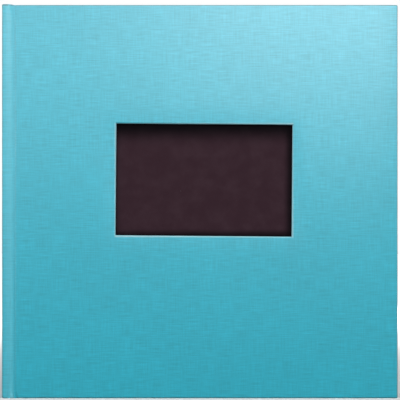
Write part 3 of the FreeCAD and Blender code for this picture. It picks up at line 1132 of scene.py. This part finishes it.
@dataclass
class JointCloth:
    """Half of the spine's bookcloth and the joint beside it, folded in at head and tail.

    Attributes:
        cover: the cover on its side, whose drawn-in corners it follows.
        sizes: the album's places.
        slope: width of the joint's slope, next to the spine.
        dip: how deep the cloth lies at the joint's bottom.
        tuck: how deep it lies where it goes under the cover's near edge.
        rise_wide: width of the rise to that edge.
        proud: how far the folded spine cloth stands past the covers at the head.
        turn_in: cloth folded inside at head and tail.
        lap: how far before the spine cloth's inner face the slope starts.
        under: how far the cloth goes under the cover's near wall.
        doubled: how far behind its outside the folded cloth lies.
        fold_rise: the most that the rounded fold takes up at head and tail.
    """

    cover: Cover
    sizes: Sizes
    slope: float = 5.2 * MM
    dip: float = 1.15 * MM
    tuck: float = 0.85 * MM
    rise_wide: float = 2.6 * MM
    proud: float = 0.7 * MM
    turn_in: float = 15.0 * MM
    lap: float = 0.2 * MM
    under: float = 0.35 * MM
    doubled: float = 0.85 * MM
    fold_rise: float = 0.9 * MM

    def _outer(self) -> list[tuple[float, float]]:
        """Follows the outside of the cloth from the spine's middle to under the cover's near wall.

        Returns:
            Its points, as x and depth.
        """
        s, r = self.sizes, self.cover.edge_round
        points = [(s.spine, s.deep - d) for d in [k * (s.deep - r) / 8 for k in range(9)]]
        for k in range(1, 6):
            turn = k * math.pi / 10
            points.append((s.spine + r - r * math.cos(turn), r - r * math.sin(turn)))
        start = s.spine_inner - self.lap
        points += [(s.spine + r + (start - s.spine - r) * k / 3, 0.0) for k in (1, 2, 3)]
        end = s.near + self.under
        for k in range(1, 25):
            x = start + (end - start) * k / 24
            down = blend_step((x - start) / self.slope)
            up = blend_step((x - (s.near - self.rise_wide)) / self.rise_wide)
            points.append((x, self.dip * down - (self.dip - self.tuck) * up))
        return points

    def _inner(self, points: Sequence[tuple[float, float]]) -> list[tuple[float, float]]:
        """Finds where the cloth folded in at head and tail lies.

        Args:
            points: the points of the outside.

        Returns:
            For each of them, the point behind it.
        """
        s, behind = self.sizes, []
        for index, (x, depth) in enumerate(points):
            if x < s.spine_inner - 0.21 * MM:
                behind.append((s.spine_inner, max(depth, 1.1 * MM) + 0.05 * MM))
                continue
            ahead, back = points[min(index + 1, len(points) - 1)], points[index - 1]
            run = math.hypot(ahead[0] - back[0], ahead[1] - back[1])
            side = ((back[1] - ahead[1]) / run, (ahead[0] - back[0]) / run)
            behind.append((x + side[0] * self.doubled, depth + side[1] * self.doubled))
        return behind

    def build(self) -> bpy.types.Object:
        """Models the cloth as one sheet laid from the spine's middle round the spine's edge, through the
        joint and under the cover's near wall.

        Returns:
            The cloth.
        """
        s, side = self.sizes, self.cover.side
        outer = self._outer()
        inner = self._inner(outer)
        levels = self._levels()

        def shape(column: int, row: int) -> Point:
            """Places one point of the sheet.

            Args:
                column: counted from the spine's middle.
                row: counted from the end of the tail's turn-in.

            Returns:
                Its place.
            """
            z, fold, end = levels[row]
            (xa, da), (xb, db) = outer[column], inner[column]
            x = xa + (xb - xa) * (1 - math.cos(fold)) / 2
            depth = da + (db - da) * (1 - math.cos(fold)) / 2
            rise_room = min(math.hypot(xb - xa, db - da) / 2, self.fold_rise)
            rise = math.sin(fold) * rise_room if 0 < fold < math.pi else 0.0
            top = s.tall + (self.proud if end > 0 else 0.0) * blend_step((s.near - xa) / (5 * MM))
            if end > 0:
                z = z if fold == 0 and z < s.tall - 2 * MM else (
                    top - rise_room + rise if fold < math.pi else z
                )
            elif end < 0:
                z = z if fold == 0 and z > 2 * MM else (rise_room - rise if fold < math.pi else z)
            joint = blend_step((xa - s.spine_inner) / (s.near - s.spine_inner))
            pulled = self.cover.pinched(Vector((s.near, 0.0, min(max(z, 0.0), s.tall))))
            x += joint * (pulled.x - s.near)
            crumple = self._crumple(x, z) * (1 if fold < math.pi / 2 else 0)
            return (x, side.value * (depth - s.deep + crumple), z)

        cloth = lay_sheet(side.word + "_joint_and_spine_cloth", len(outer), len(levels), shape)
        with Bench(cloth):
            bpy.ops.mesh.select_all(action="SELECT")
            bpy.ops.mesh.remove_doubles(threshold=0.01 * MM)
            bpy.ops.mesh.normals_make_consistent(inside=False)
        self._face_outwards(cloth)
        finish_with(cloth, "SOLIDIFY", thickness=s.cloth, offset=-1.0)
        smooth(cloth, 50.0)
        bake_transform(cloth)
        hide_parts(side.word + "_joint_cloth", "spine_cloth")
        return cloth

    def _crumple(self, x: float, z: float) -> float:
        """Gives the small creases where the joint's cloth is pinched together at head and tail.

        Args:
            x: the place across the joint.
            z: the height.

        Returns:
            How far the cloth is pushed in there.
        """
        s = self.sizes
        tail, head = math.exp(-max(z, 0.0) / (6.0 * MM)), math.exp(-max(s.tall - z, 0.0) / (4.0 * MM))
        ridge = math.exp(-(((x - s.spine_inner - 5.2 * MM) / (1.6 * MM)) ** 2))
        crease = math.exp(-(((x - s.spine_inner - 2.6 * MM) / (1.0 * MM)) ** 2))
        return MM * (tail * (1.1 * crease - 1.15 * ridge) + head * (0.3 * crease - 0.7 * ridge))

    def _levels(self) -> list[tuple[float, float, int]]:
        """Lists the sheet's rows, from the end of the tail's turn-in to the end of the head's.

        Returns:
            For each, its height, the angle of the fold, and -1 at the tail, 1 at the head, 0 between.
        """
        s, turn = self.sizes, self.turn_in
        rows: list[tuple[float, float, int]] = [(turn, math.pi, -1), (turn / 2, math.pi, -1)]
        rows += [(0.0, math.pi * k / 8, -1) for k in range(7, -1, -1)]
        rows += [(k * MM, 0.0, 0) for k in (2.2, 3.5, 5.0, 7.0, 9.5, 12.5, 16.0, 20.0)]
        rows += [(20.0 * MM + (s.tall - 36.0 * MM) * k / 8, 0.0, 0) for k in range(1, 9)]
        rows += [(s.tall - k * MM, 0.0, 0) for k in (12.5, 9.5, 7.0, 5.0, 3.5, 2.2)]
        rows += [(s.tall, math.pi * k / 8, 1) for k in range(0, 8)]
        rows += [(s.tall - turn / 2, math.pi, 1), (s.tall - turn, math.pi, 1)]
        return rows

    def _face_outwards(self, cloth: bpy.types.Object) -> None:
        """Turns the sheet over if its outer side faces the leaves.

        Args:
            cloth: the sheet.
        """
        outside = [p for p in cloth.data.polygons if p.center.x < self.sizes.spine + 1e-5]
        if outside and outside[len(outside) // 2].normal.x > 0:
            cloth.data.flip_normals()


@dataclass
class InnerHinge:
    """The lining cloth that hangs a hinge flap from its cover, folded at the flap's spine edge.

    Attributes:
        side: which cover it hangs from.
        sizes: the album's places; not used.
        thick: the cloth's thickness.
        flap_leg: how far it reaches onto the flap.
        blend_height: the height at which its bending is measured; not used.
    """

    side: Side
    sizes: Sizes
    thick: float = 0.3 * MM
    flap_leg: float = 5.5 * MM
    blend_height: float = 0.159

    def build(self) -> bpy.types.Object:
        """Models the strip as one sheet folded round the flap's spine edge.

        Returns:
            The strip.
        """
        low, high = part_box(self.side.word + "_inner_hinge")
        near_y, far_y = (low[1], high[1]) if self.side is Side.FRONT else (high[1], low[1])
        radius = abs(far_y - near_y) / 2 - self.thick / 2
        centre_y = (near_y + far_y) / 2
        fold_x = low[0] + radius + self.thick / 2
        leg = fold_x + self.flap_leg
        path = [(leg + (fold_x - leg) * k / 5, centre_y + self.side.value * radius) for k in range(6)]
        for k in range(1, 9):
            turn = math.pi * k / 8
            path.append(
                (fold_x - radius * math.sin(turn), centre_y + self.side.value * radius * math.cos(turn))
            )
        reach = high[0] - fold_x
        path += [(fold_x + reach * k / 14, centre_y - self.side.value * radius) for k in range(1, 15)]
        rows = 25

        def shape(column: int, row: int) -> Point:
            """The place of one point of the strip."""
            x, y = path[column]
            return (x, y, low[2] + (high[2] - low[2]) * row / (rows - 1))

        strip = lay_sheet(self.side.word + "_hinge_cloth", len(path), rows, shape)
        finish_with(strip, "SOLIDIFY", thickness=self.thick, offset=0.0)
        smooth(strip, 50.0)
        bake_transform(strip)
        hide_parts(self.side.word + "_inner_hinge")
        return strip


@dataclass
class Leaf:
    """One black card leaf, hung from its stub by a scored line.

    Attributes:
        number: counted from the front, from 1.
        corner: the corners' radius.
        bow: how far a leaf's free part bows by itself.
        wave: height of the long wave that the whole block of leaves has taken up.
        score: width of the pressed line beside the stub.
        score_deep: how deep that line is pressed.
    """

    number: int
    corner: float = 1.2 * MM
    bow: float = 0.28 * MM
    wave: float = 0.8 * MM
    score: float = 1.4 * MM
    score_deep: float = 0.06 * MM

    @property
    def node(self) -> str:
        """The leaf's CAD node and body."""
        return "leaf_%02d" % self.number

    def build(self) -> bpy.types.Object:
        """Models the leaf as a slightly bowed card with a pressed score beside its stub.

        Returns:
            The leaf.
        """
        low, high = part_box(self.node)
        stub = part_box("leaf_stubs")[1][0]
        thick = high[1] - low[1]
        middle = (low[1] + high[1]) / 2
        put_down_everything()
        bpy.ops.mesh.primitive_grid_add(
            x_subdivisions=23, y_subdivisions=16, size=1.0, calc_uvs=False,
            location=((stub + high[0]) / 2, middle, (low[2] + high[2]) / 2),
            rotation=(math.pi / 2, 0.0, 0.0),
        )
        card = bpy.context.object
        card.name = card.data.name = "card_" + self.node
        card.scale = (high[0] - stub, high[2] - low[2], 1.0)
        settle(card)
        with Bench(card) as bench:
            bench.cut(0, [low[0], low[0] + 0.5 * self.score, low[0] + self.score])
            bpy.ops.mesh.select_mode(type="VERT")
            mesh = bmesh.from_edit_mesh(card.data)
            for vertex in mesh.verts:
                end = abs(vertex.co.z - low[2]) < 1e-6 or abs(vertex.co.z - high[2]) < 1e-6
                vertex.select_set(end and abs(vertex.co.x - high[0]) < 1e-6)
            bmesh.update_edit_mesh(card.data)
            bpy.ops.mesh.bevel(offset=self.corner, segments=4, affect="VERTICES")
        reach, tall = high[0] - low[0], high[2] - low[2]
        seed = 7.3 * self.number
        for vertex in card.data.vertices:
            along = max(0.0, vertex.co.x - low[0]) / reach
            up = (vertex.co.z - low[2]) / tall
            own = noise.noise(Vector((1.7 * along, 2.1 * up, seed)))
            sag = noise.noise(Vector((0.9 * along, 1.1 * up, 3.7)))
            vertex.co.y += self.bow * along**1.3 * (0.75 * own + 1.1 * sag)
            vertex.co.y += self.wave * math.sin(2.0 * math.pi * along)
            pressed = 1.0 - abs(vertex.co.x - low[0] - 0.5 * self.score) / (0.5 * self.score)
            vertex.co.y += self.score_deep * max(0.0, pressed)
        finish_with(card, "SOLIDIFY", thickness=thick, offset=0.0)
        wrap_uv(card, middle)
        smooth(card)
        self.node
        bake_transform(card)
        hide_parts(self.node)
        return card


@dataclass
class Album:
    """The whole album: its cloth, boards, leaves and fittings, and their finishes."""

    sizes: Sizes
    groups: Groups

    def _window_rub(self) -> WearAndPaintedLightBand:
        """The scuffed fold round the window.

        Returns:
            The scuffed band.
        """
        left, right, foot, head = self.sizes.window
        centre = ((left + right) / 2, 0.0, (foot + head) / 2)
        half = ((right - left) / 2, -1.0, (head - foot) / 2)
        return WearAndPaintedLightBand(centre, half, 1.3 * MM, 1.4 * MM, (0.26, 0.50, 0.57))

    def _painted_edge_shade(self, side: Optional[Side] = None) -> WearAndPaintedLightBand:
        """Painted shade along the outer edges: a darker grey-teal band on the rounded arrises.

        Args:
            side: the cover whose edges they are, or None for the spine's.

        Returns:
            The band of painted shade.
        """
        s = self.sizes
        thick = s.deep if side is None else s.cover / 2
        y = 0.0 if side is None else side.value * (thick - s.deep)
        centre = ((s.spine + s.fore) / 2, y, s.tall / 2)
        half = ((s.fore - s.spine) / 2, thick, s.tall / 2)
        # Painted shade: the rounded arrises get a darker grey-teal than the cloth's face.
        return WearAndPaintedLightBand(centre, half, 1.0 * MM, 0.8 * MM, (0.095, 0.210, 0.235), 0.85)

    def _painted_joint_light(self) -> WearAndPaintedLightBand:
        """Painted light in the joints: a paler band over the spine's edge and the groove's slope, which
        face the light.

        Returns:
            The band of painted light.
        """
        s, reach = self.sizes, 5.2 * MM
        half_wide = (s.fore - s.spine_inner - 2.3 * MM) / 2
        centre = (s.fore - half_wide, 0.0, s.tall / 2)
        # Painted light: a paler teal over the spine's edge and the groove's slope.
        return WearAndPaintedLightBand(centre, (half_wide, -1.0, 1.0), reach, reach, (0.090, 0.520, 0.640), 0.35)

    def build(self) -> None:
        """Builds every piece and dresses it, and dresses the CAD nodes that stay."""
        turquoise = (0.0, 0.378, 0.498)
        front, back, joint = (
            ClothFinish("bookcloth_" + part, turquoise) for part in ("front", "back", "joint")
        )
        lining_cloth = ClothFinish(
            "lining_cloth", (0.012, 0.012, 0.013), threads=1500.0,
            shade=0.2, relief=0.00008, roughness=0.75, gloss=0.3, filling=0.0,
        )
        covers = {side: Cover(side, self.sizes) for side in Side}
        # Painted shade on the outer edges of both covers and the spine, painted light on the joints; the
        # window's lip is real scuffing.
        cloth_materials = {
            Side.FRONT: front.make(self.groups, [self._painted_edge_shade(Side.FRONT), self._window_rub()]),
            Side.BACK: back.make(self.groups, [self._painted_edge_shade(Side.BACK)]),
        }
        joint_material = joint.make(self.groups, [self._painted_joint_light(), self._painted_edge_shade()])
        hinge_material = lining_cloth.make(self.groups)
        grey = CardFinish(
            "greyboard", (0.19, 0.18, 0.165), (0.30, 0.285, 0.26), tooth=1500.0, clouds=160.0, fibres=0.7
        ).make(self.groups)
        for side, cover in covers.items():
            self._note(cover.cloth(), cloth_materials[side])
            self._note(cover.board(), grey)
            self._note(JointCloth(cover, self.sizes).build(), joint_material)
            self._note(InnerHinge(side, self.sizes).build(), hinge_material)
        self._leaves()
        self._dress_frame(grey)

    def _note(self, piece: bpy.types.Object, material: bpy.types.Material) -> None:
        """Dresses a finished piece and reports it."""
        dress(piece, material)
        log.info("%s: %d faces, %s", piece.name, len(piece.data.polygons), material.name)

    def _leaves(self) -> None:
        """Builds the leaves."""
        low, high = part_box("leaf_01")
        centre = ((low[0] + high[0]) / 2, 0.0, (low[2] + high[2]) / 2)
        half = ((high[0] - low[0]) / 2, -1.0, (high[2] - low[2]) / 2)
        card = CardFinish(
            "leaf_card", (0.0105, 0.0102, 0.0108), (0.0145, 0.0140, 0.0145), tooth=2200.0, clouds=70.0,
            fibres=0.45, dust=0.12,
        ).make(self.groups, [WearAndPaintedLightBand(centre, half, 0.6 * MM, 0.6 * MM, (0.045, 0.043, 0.042), 0.6)])
        for number in range(1, LEAF_COUNT + 1):
            self._note(Leaf(number).build(), card)

    def _dress_frame(self, grey: bpy.types.Material) -> None:
        """Gives the CAD nodes that stay in view their finishes.

        Args:
            grey: the greyboard's material.
        """
        groups = self.groups
        black = CardFinish(
            "black_card", (0.0100, 0.0098, 0.0104), (0.0140, 0.0136, 0.0140), clouds=80.0, fibres=0.5
        ).make(groups)
        spacer = CardFinish(
            "spacer_card", (0.012, 0.0115, 0.0115), (0.026, 0.025, 0.024), tooth=1800.0, fibres=0.6
        ).make(groups)
        lining = CardFinish(
            "lining_paper", (0.0125, 0.0125, 0.0135), (0.0165, 0.0165, 0.0175), tooth=3200.0, clouds=60.0,
            fibres=0.4, roughness=0.72,
        ).make(groups)
        pocket = CardFinish(
            "pocket_paper", (0.0165, 0.0165, 0.0175), (0.0205, 0.0205, 0.0215), tooth=4200.0, clouds=60.0,
            fibres=0.2, roughness=0.6,
        ).make(groups)
        tape = CardFinish(
            "tape", (0.022, 0.021, 0.020), (0.030, 0.029, 0.027), tooth=3000.0, fibres=0.1, roughness=0.5
        ).make(groups)
        left, right, foot, head = self.sizes.window
        # Painted shade of the window's recess on the insert card: dark under the window's edges and widest
        # under the head.
        recess_shading = Fading(
            (left - 0.5 * MM, 0.0, foot - 0.5 * MM), (right + 0.5 * MM, 0.0, head - 1.0 * MM),
            (2.2 * MM, 1.0, 7.0 * MM), (8.5 * MM, 1.0, 18.0 * MM), (0.0022, 0.0016, 0.0026),
        )
        insert = CardFinish(
            "insert_card", (0.0305, 0.0145, 0.0205), (0.0370, 0.0190, 0.0260), tooth=2600.0, clouds=110.0,
            fibres=0.5, relief=0.00002, roughness=0.78, dust=0.35, gloss=0.05, fading=recess_shading,
        ).make(groups)
        brass = MetalFinish("post_metal", (0.80, 0.62, 0.33)).make(groups)
        for node, material in (
            ("spine_board", grey), ("spine_lining", lining), ("front_lining", lining),
            ("back_lining", lining), ("front_flap", black), ("back_flap", black), ("leaf_stubs", black),
            ("spacer_strips", spacer), ("screw_posts", brass), ("post_screws", brass),
            ("pocket_tape", tape), ("pocket_sheet", pocket), ("window_card", insert),
        ):
            dress_node(node, material)
            log.info("%s: CAD node, %s", node, material.name)


# ---------------------------------------------------------------------------------------------------------
# The studio
# ---------------------------------------------------------------------------------------------------------


@dataclass(frozen=True)
class Lamp:
    """One soft square light.

    Attributes:
        name: the light's name.
        place: where it hangs.
        aim: what it points at.
        power: its power in watts.
        size: its side.
    """

    name: str
    place: Point
    aim: Point
    power: float
    size: float

    def hang(self) -> None:
        """Hangs the light in its place, turned to what it points at."""
        data = bpy.data.lights.new(self.name, "AREA")
        data.energy, data.size = self.power, self.size
        lamp = bpy.data.objects.new(self.name, data)
        bpy.context.scene.collection.objects.link(lamp)
        lamp.location = self.place
        way = Vector(self.aim) - Vector(self.place)
        lamp.rotation_euler = way.to_track_quat("-Z", "Y").to_euler()


LAMPS = (
    Lamp("key", (0.21, -0.90, 0.585), (0.0, 0.0, 0.22), 5.4, 0.58),
    Lamp("fill", (-0.45, -1.0, 0.50), (0.0, 0.0, 0.10), 2.0, 0.6),
    Lamp("side_left", (-1.5, -1.1, 0.45), (0.0, 0.0, 0.14), 11.5, 0.7),
    Lamp("side_right", (1.5, -1.1, 0.45), (0.0, 0.0, 0.14), 7.0, 0.7),
    Lamp("top", (0.10, -0.62, 1.5), (0.0, 0.0, 0.16), 8.0, 0.8),
    Lamp("back", (0.55, 1.15, 0.32), (0.0, 0.0, 0.15), 9.0, 0.5),
    Lamp("back_left", (-0.95, 0.75, 0.32), (0.0, 0.0, 0.15), 6.0, 0.5),
)


@dataclass
class Studio:
    """The pale floor, the soft lights and the camera.

    Attributes:
        sizes: the album's places.
        distance: the camera's distance from the front cover.
        view_wide: the width that the frame takes in at the front cover.
        aside: how far the camera stands to the right of the middle.
        above: how far it stands above half the album's height.
        film: width of the camera's film, in millimetres.
        floor_wide: the floor's side.
        bounce: how much light the floor throws back up.
        room: how bright the room is as a light.
    """

    sizes: Sizes
    distance: float = 1.5
    view_wide: float = 323.35 * MM
    aside: float = 0.16 * MM
    above: float = 1.3 * MM
    film: float = 36.0
    floor_wide: float = 8.0
    bounce: float = 0.15
    room: float = 0.06

    def floor(self) -> None:
        """Lays the pale floor."""
        put_down_everything()
        bpy.ops.mesh.primitive_plane_add(size=self.floor_wide, location=(0.0, 0.0, 0.0))
        ground = bpy.context.object
        ground.name = "floor"
        recipe = Recipe("floor")
        graph = recipe.graph
        seen = graph.node("ShaderNodeLightPath").outputs["Is Camera Ray"]
        tone = graph.mix(graph.noise(recipe.place, 6.0, 3.0), (0.80, 0.80, 0.80), (0.83, 0.83, 0.825))
        recipe.feed("Base Color", graph.mix(seen, (self.bounce,) * 3, tone))
        away = graph.node("ShaderNodeVectorMath", {0: recipe.place}, operation="LENGTH").outputs["Value"]
        glow = graph.math("MULTIPLY", seen, graph.ramp(away, 0.35, 1.1))
        recipe.feed("Emission Strength", glow)
        recipe.set(Roughness=0.9, Specular_IOR_Level=0.0, Emission_Color=(1.0, 1.0, 1.0, 1.0))
        dress(ground, recipe.material)

    def lights(self) -> None:
        """Hangs the lights in front, at both sides, above and behind, and lights the room."""
        for lamp in LAMPS:
            lamp.hang()
        world = bpy.data.worlds.new("room")
        world.use_nodes = True
        graph = Graph(world.node_tree)
        seen = graph.node("ShaderNodeLightPath").outputs["Is Camera Ray"]
        background = world.node_tree.nodes["Background"]
        world.node_tree.links.new(graph.mix(seen, (self.room,) * 3, (1.0,) * 3), background.inputs["Color"])
        bpy.context.scene.world = world
        bpy.context.scene.view_settings.view_transform = "Standard"

    def camera(self) -> None:
        """Sets the camera square to the front cover."""
        data = bpy.data.cameras.new("camera")
        data.sensor_width = self.film
        data.lens = self.film * self.distance / self.view_wide
        data.clip_start, data.clip_end = 0.05, 20.0
        camera = bpy.data.objects.new("camera", data)
        bpy.context.scene.collection.objects.link(camera)
        height = self.sizes.tall / 2 + self.above
        camera.location = (self.aside, -self.sizes.deep - self.distance, height)
        camera.rotation_euler = (math.pi / 2, 0.0, 0.0)
        bpy.context.scene.camera = camera


def main() -> None:
    """Builds the studio and the album."""
    logging.basicConfig(level=logging.INFO, format="%(name)s: %(message)s")
    sizes = read_sizes()
    studio = Studio(sizes)
    studio.camera()
    studio.floor()
    studio.lights()
    Album(sizes, Groups()).build()
    put_down_everything()


if __name__ == "__main__":
    main()
